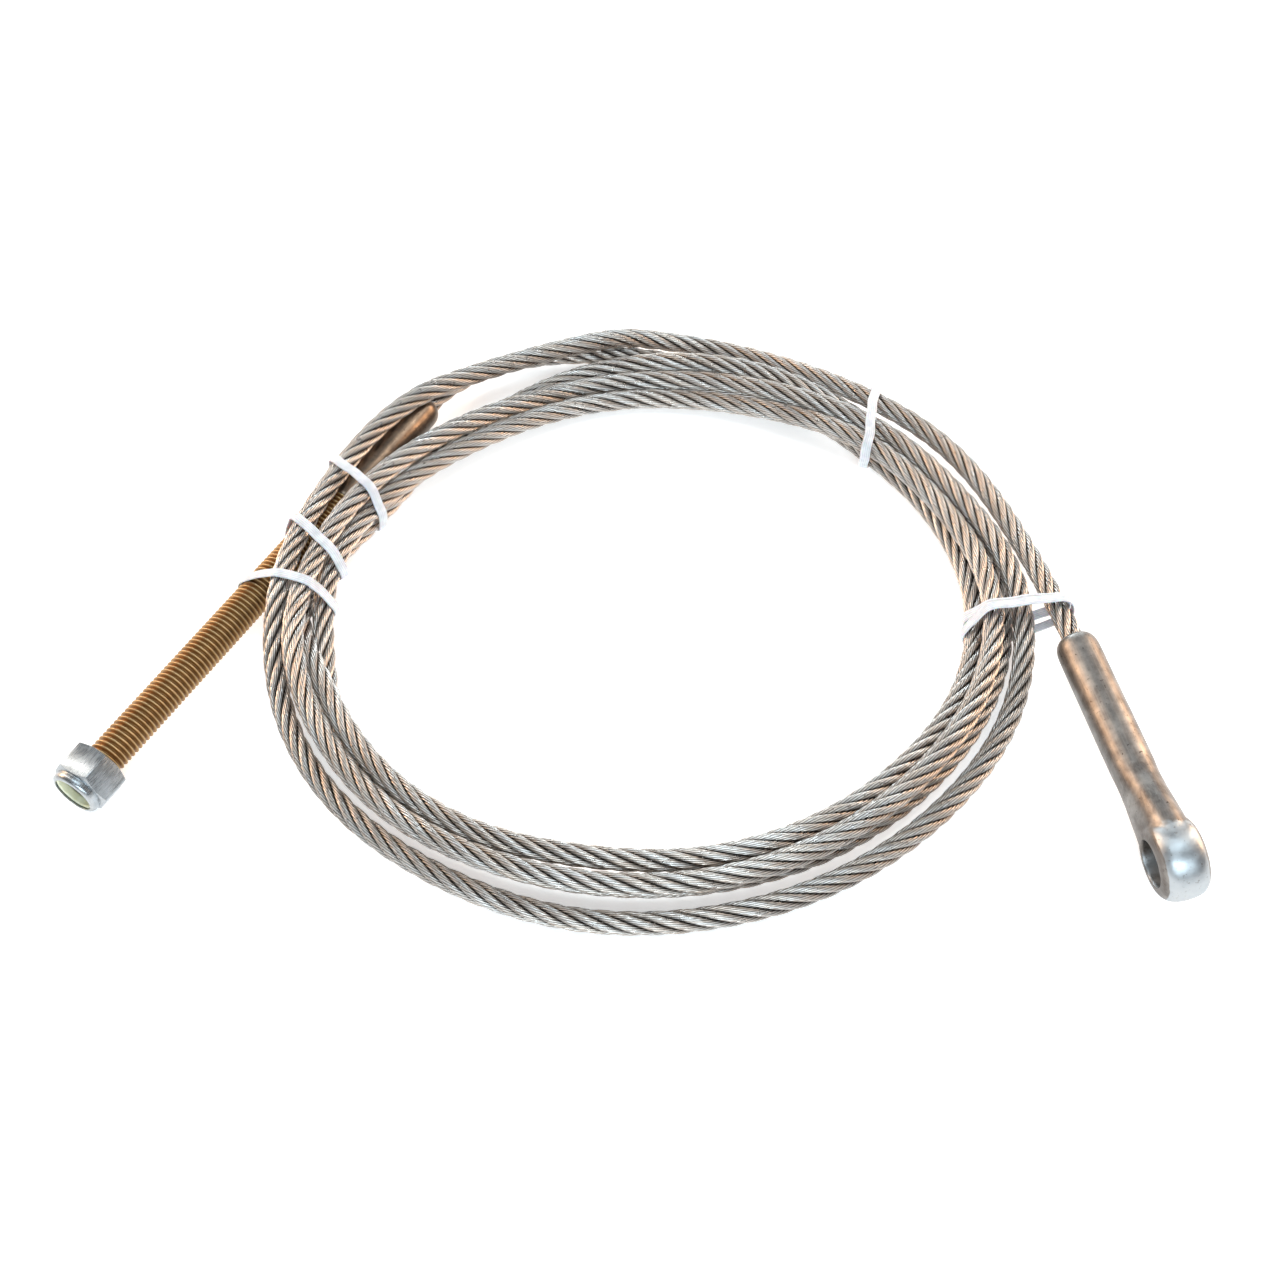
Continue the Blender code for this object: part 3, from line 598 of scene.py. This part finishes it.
# ---- the eye fitting ----------------------------------------------------------------------
def make_eye(surface):
    centre_x = EYE_LENGTH - EYE_R
    stations = [
        (0.0, 6.2, 6.2, 2.0), (0.6, 7.2, 7.2, 2.0), (1.6, 8.1, 8.1, 2.0), (3.0, 8.7, 8.7, 2.0), (5.0, 9.1, 9.1, 2.0), (7.5, 9.25, 9.25, 2.0),
        (30.0, 9.22, 9.22, 2.0), (48.0, 9.28, 9.28, 2.0), (64.0, 9.25, 9.25, 2.0), (67.0, 9.2, 9.25, 2.0), (70.0, 9.0, 9.2, 2.05),
        (75.0, 8.9, 10.1, 2.0), (81.0, 8.95, 11.7, 2.05), (88.0, 9.25, 13.7, 2.1), (95.0, 9.55, 15.4, 2.15), (101.0, 9.7, 16.4, 2.15), (106.0, 9.75, 16.8, 2.15),
    ]
    sides = 72
    a = 2 * np.pi * np.arange(sides) / sides
    rings = []
    for x, wide, high, power in stations:
        c, s = np.cos(a), np.sin(a)
        rings.append(np.stack([np.full(sides, x), wide * np.sign(c) * np.abs(c) ** (2 / power), high * np.sign(s) * np.abs(s) ** (2 / power)], 1))
    eye = grid_object("eye", np.array(rings), surface)
    # the bulb: a ring rounded all the way from its crown to the edge of the hole
    half, edge = EYE_WIDTH / 2, 7.3
    profile = [(-half * math.cos(t) ** 0.80, EYE_R - edge + edge * math.sin(t) ** 0.80) for t in np.linspace(0.02, math.pi / 2, 18)]
    profile += [(-x, r) for x, r in reversed(profile[:-1])]
    disc = grid_object("disc", np.array(turned(profile, 128)), surface)
    disc.data.transform(Matrix.Translation(Vector((centre_x, 0, 0)) * MM) @ Matrix.Rotation(math.pi / 2, 4, "Z"))
    boolean(eye, disc, "UNION")
    remesh = eye.modifiers.new("remesh", "REMESH")
    remesh.mode = "VOXEL"
    remesh.voxel_size = 0.55 * MM
    blend = eye.modifiers.new("forged", "SMOOTH")
    blend.factor = 0.5
    blend.iterations = 12
    bpy.context.view_layer.update()
    apply_modifiers(eye)
    flare = [(-half - 3, EYE_HOLE_R + 2.2), (-half - 0.1, EYE_HOLE_R + 0.45), (-half + 0.4, EYE_HOLE_R + 0.2), (-half + 0.9, EYE_HOLE_R + 0.04), (-half + 1.4, EYE_HOLE_R)]
    flare += [(-x, r) for x, r in reversed(flare)]
    hole = grid_object("hole", np.array(turned(flare, 96)), surface)
    hole.data.transform(Matrix.Translation(Vector((centre_x, 0, 0)) * MM) @ Matrix.Rotation(math.pi / 2, 4, "Z"))
    boolean(eye, hole, "DIFFERENCE")
    bore = [(-3, 7.4), (0.0, 5.6), (0.5, 5.15), (1.4, 4.98), (14.0, 4.98)]
    boolean(eye, grid_object("bore", np.array(turned(bore, 64)), surface), "DIFFERENCE")
    eye.data.shade_smooth()
    eye.data.set_sharp_from_angle(angle=math.radians(38))
    points = np.empty(len(eye.data.vertices) * 3)
    eye.data.vertices.foreach_get("co", points)
    normals = np.empty(len(eye.data.vertices) * 3)
    eye.data.vertices.foreach_get("normal", normals)
    p, up = points.reshape(-1, 3) / MM, normals.reshape(-1, 3)
    round_bulb = np.clip((p[:, 0] - 96.0) / 12.0, 0, 1)
    # painted highlight mask: the bulb's rounded crown, away from the flat faces that face along the hole
    crown = round_bulb * np.clip((0.86 - np.abs(up[:, 1])) / 0.30, 0, 1)
    # painted shade: the bulb's flat faces and the inside of the hole
    flat = np.clip((np.abs(up[:, 1]) - 0.80) / 0.15, 0, 1) * np.clip((p[:, 0] - 90.0) / 8.0, 0, 1)
    in_hole = (np.hypot(p[:, 0] - centre_x, p[:, 2]) < EYE_HOLE_R + 0.9).astype(float)
    attribute(eye, "crown", crown)
    attribute(eye, "shade", np.maximum(flat * 0.55, in_hole * 0.35))
    eye.data.name = eye.name = "eye"
    eye.data.transform(Matrix.Rotation(EYE_ROLL, 4, "X"))
    return place(eye, EYE_MOUTH, EYE_HEADING)


# ---- the bands ----------------------------------------------------------------------------
def wrapped_points(line, radius):
    line = even(line, 0.8)
    tangent, normal, binormal = frames_along(line)
    shells = [line + (normal * math.cos(a) + binormal * math.sin(a)) * radius for a in np.linspace(0, 2 * np.pi, 32, endpoint=False)]
    rod = SOCKET_MOUTH - STUD_DIR * np.arange(3, STUD_LENGTH - 60, 0.8)[:, None]
    across = np.array([-STUD_DIR[1], STUD_DIR[0], 0])
    shells += [rod + (across * math.cos(a) + np.array([0, 0, 1.0]) * math.sin(a)) * SOCKET_R for a in np.linspace(0, 2 * np.pi, 32, endpoint=False)]
    return np.vstack(shells)


def make_band(name, skin, outer, inner, surface, lean=0.0):
    outer, inner = np.array([*outer, 0.0]), np.array([*inner, 0.0])
    u = (inner - outer) / np.linalg.norm(inner - outer)
    level = np.array([-u[1], u[0], 0.0])
    middle = (outer + inner) / 2 + np.array([0, 0, 26.0])
    v = np.array([0, 0, 1.0]) * math.cos(lean) + level * math.sin(lean)
    n = np.cross(u, v)
    rel = skin - middle
    near = (np.abs(rel @ n) < BAND_WIDTH / 2 + 0.4) & (np.abs(rel @ u) < np.linalg.norm(inner - outer) / 2 + 16)
    flat = np.stack([rel[near] @ u, rel[near] @ v], 1)
    count = 180
    angles = 2 * np.pi * np.arange(count) / count
    directions = np.stack([np.cos(angles), np.sin(angles)], 1)
    reach = (flat @ directions.T).max(0) + 0.12
    loop = []
    for k in range(count):
        j = (k + 1) % count
        loop.append(np.linalg.solve(np.array([directions[k], directions[j]]), [reach[k], reach[j]]))
    loop = np.array(loop)
    closed = np.vstack([loop, loop[:1]])
    run = np.r_[0, np.cumsum(np.linalg.norm(np.diff(closed, axis=0), axis=1))]
    at = np.linspace(0, run[-1], int(run[-1] / 0.7), endpoint=False)
    loop = np.stack([np.interp(at, run, closed[:, k]) for k in range(2)], 1)
    for _ in range(4):
        loop = loop * 0.5 + (np.roll(loop, 1, 0) + np.roll(loop, -1, 0)) * 0.25
    along = np.roll(loop, -1, 0) - np.roll(loop, 1, 0)
    along /= np.linalg.norm(along, axis=1)[:, None]
    outward = np.stack([along[:, 1], -along[:, 0]], 1)
    w, t = BAND_WIDTH / 2, 0.82
    # the strap's section: across its width and through its thickness, a little crowned, with soft edges
    section = [(-w + 0.3, 0.0), (-w * 0.4, 0.0), (w * 0.4, 0.0), (w - 0.3, 0.0), (w - 0.05, 0.12), (w, 0.32), (w - 0.08, 0.52), (w - 0.4, 0.68),
               (w * 0.5, t - 0.03), (0.0, t), (-w * 0.5, t - 0.03), (-w + 0.4, 0.68), (-w + 0.08, 0.52), (-w, 0.32), (-w + 0.05, 0.12)]
    phase = np.linspace(0, 2 * np.pi, len(loop), endpoint=False)
    sway = 0.35 * np.sin(3 * phase + len(name)) + 0.2 * np.sin(7 * phase)
    rings = []
    for p, o, s in zip(loop, outward, sway):
        ring = []
        for x, h in section:
            q = p + o * h
            point = middle + u * q[0] + v * q[1] + n * (x + s) - ORIGIN
            point[2] = max(point[2], 0.02 + (0.9 - h if h < 0.5 else 0.0))
            ring.append(point)
        rings.append(ring)
    obj = grid_object(name, np.array(rings), surface, 60, closed=True)
    attribute(obj, "across", np.array([[(x + w) / (2 * w) for x, _ in section]] * len(rings)))
    top = middle + u * (loop + outward * (t + 0.1))[:, :1] + v * (loop + outward * (t + 0.1))[:, 1:]
    skin_of = np.vstack([top + n * x for x in np.linspace(-w, w, 9)])
    return obj, skin_of


# ---- camera and light ---------------------------------------------------------------------
camera = bpy.data.objects.new("camera", bpy.data.cameras.new("camera"))
bpy.context.scene.collection.objects.link(camera)
camera.data.sensor_width = 36.0
camera.data.lens = 47.39
camera.data.clip_start = 0.01
camera.location = Vector(np.array([-0.953, -469.83, 597.43]) - ORIGIN) * MM
camera.rotation_euler = (math.radians(37), 0, 0)
bpy.context.scene.camera = camera


def area(name, at, toward, size, watts, colour):
    light = bpy.data.lights.new(name, "AREA")
    light.shape = "RECTANGLE"
    light.size, light.size_y = size
    light.energy = watts
    light.color = colour
    obj = bpy.data.objects.new(name, light)
    bpy.context.scene.collection.objects.link(obj)
    obj.location = at
    obj.rotation_euler = (Vector(toward) - Vector(at)).to_track_quat("-Z", "Y").to_euler()
    return obj


area("upper_left", (-1.05, 0.65, 1.1), (0, 0, 0), (0.3, 1.2), 6.0, (1.0, 0.94, 0.86))
area("upper_right", (1.05, 0.65, 1.1), (0, 0, 0), (0.3, 1.2), 6.0, (1.0, 0.94, 0.86))
area("top_soft", (0.0, 0.0, 1.7), (0, 0, 0), (0.9, 0.7), 8.0, (0.78, 0.92, 1.0))
area("front_soft", (0.1, -1.5, 1.1), (0, 0, 0), (1.4, 0.5), 21.0, (0.78, 0.92, 1.0))
area("back_soft", (0.0, 1.75, 0.5), (0, 0, 0), (1.6, 0.4), 18.0, (0.80, 0.93, 1.0))
area("left_warm", (-1.4, 0.65, 0.5), (0, 0, 0.02), (1.0, 0.6), 14.0, (1.0, 0.64, 0.39))
area("right_warm", (1.4, 0.65, 0.5), (0, 0, 0.02), (1.0, 0.6), 13.0, (1.0, 0.64, 0.39))

world = bpy.data.worlds.new("studio")
bpy.context.scene.world = world
world.use_nodes = True
world.node_tree.nodes["Background"].inputs["Color"].default_value = (0.86, 0.88, 0.92, 1)
world.node_tree.nodes["Background"].inputs["Strength"].default_value = 0.32
bpy.context.scene.view_settings.view_transform = "Standard"

# ---- build ---------------------------------------------------------------------------------
route = rope_route()
run = run_of(route)
fine = smooth_line(even(route, 1.0), 40)
fine_run = run_of(fine)
drop = ROPE_INSIDE - INSIDE
keep = (fine_run >= drop) & (fine_run <= fine_run[-1] - drop)
visible = fine[keep]

rope_steel = rope_surface_material()
strands = make_strands(visible, rope_steel)
turn_nodes = [f"rope_turn_{k}" for k in range(1, 6)]
for strand in strands:
    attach(strand, "cable")
    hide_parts(*turn_nodes)

gold = thread_material()
thread = make_thread(gold)
sleeve = make_sleeve(swaged_material("swaged sleeve", (0.27, 0.205, 0.15), (0.17, 0.13, 0.10), (0.10, 0.078, 0.06), STUD_HEADING, (0.26, 0.40)))
for piece in (thread, sleeve):
    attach(piece, "cable")
    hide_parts("swage_stud")

nut, ring = make_nut(nut_material(), nylon_material())
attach(nut, "nut")
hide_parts("nut_body")
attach(ring, "nut_ring")
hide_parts("nut_insert")

eye = make_eye(swaged_material("swaged eye", (0.33, 0.305, 0.28), (0.225, 0.205, 0.19), (0.135, 0.12, 0.108), EYE_HEADING, (0.33, 0.50), bright=(0.46, 0.49, 0.51)))
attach(eye, "cable")
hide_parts("eye_fitting")

plastic = band_material()
skin = wrapped_points(fine, STRAND_AT + STRAND_R)
for name, node, outer, inner in (
    ("band_left_back", "band_1", (-151.5, 73.3), (-121.3, 43.9)),
    ("band_left_middle", "band_2", (-163.1, 34.2), (-136.7, 10.5)),
    ("band_left_front", "band_3", (-181.0, 1.8), (-139.4, -9.5)),
    ("band_back", "band_4", (114.9, 128.0), (105.5, 79.1)),
):
    band, _ = make_band(name, skin, outer, inner, plastic)
    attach(band, "cable")
    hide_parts(node)
band, over = make_band("band_eye_under", skin, (190.2, -13.0), (141.9, -17.4), plastic, math.radians(9))
second, _ = make_band("band_eye_over", np.vstack([skin, over]), (190.2, -14.0), (141.9, -18.4), plastic, math.radians(-9))
for piece, node in ((band, "band_5a"), (second, "band_5b")):
    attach(piece, "cable")
    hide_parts(node)

bpy.ops.mesh.primitive_plane_add(size=12)
floor = bpy.context.object
floor.name = "floor"
floor.data.materials.append(floor_material())

bpy.context.view_layer.update()
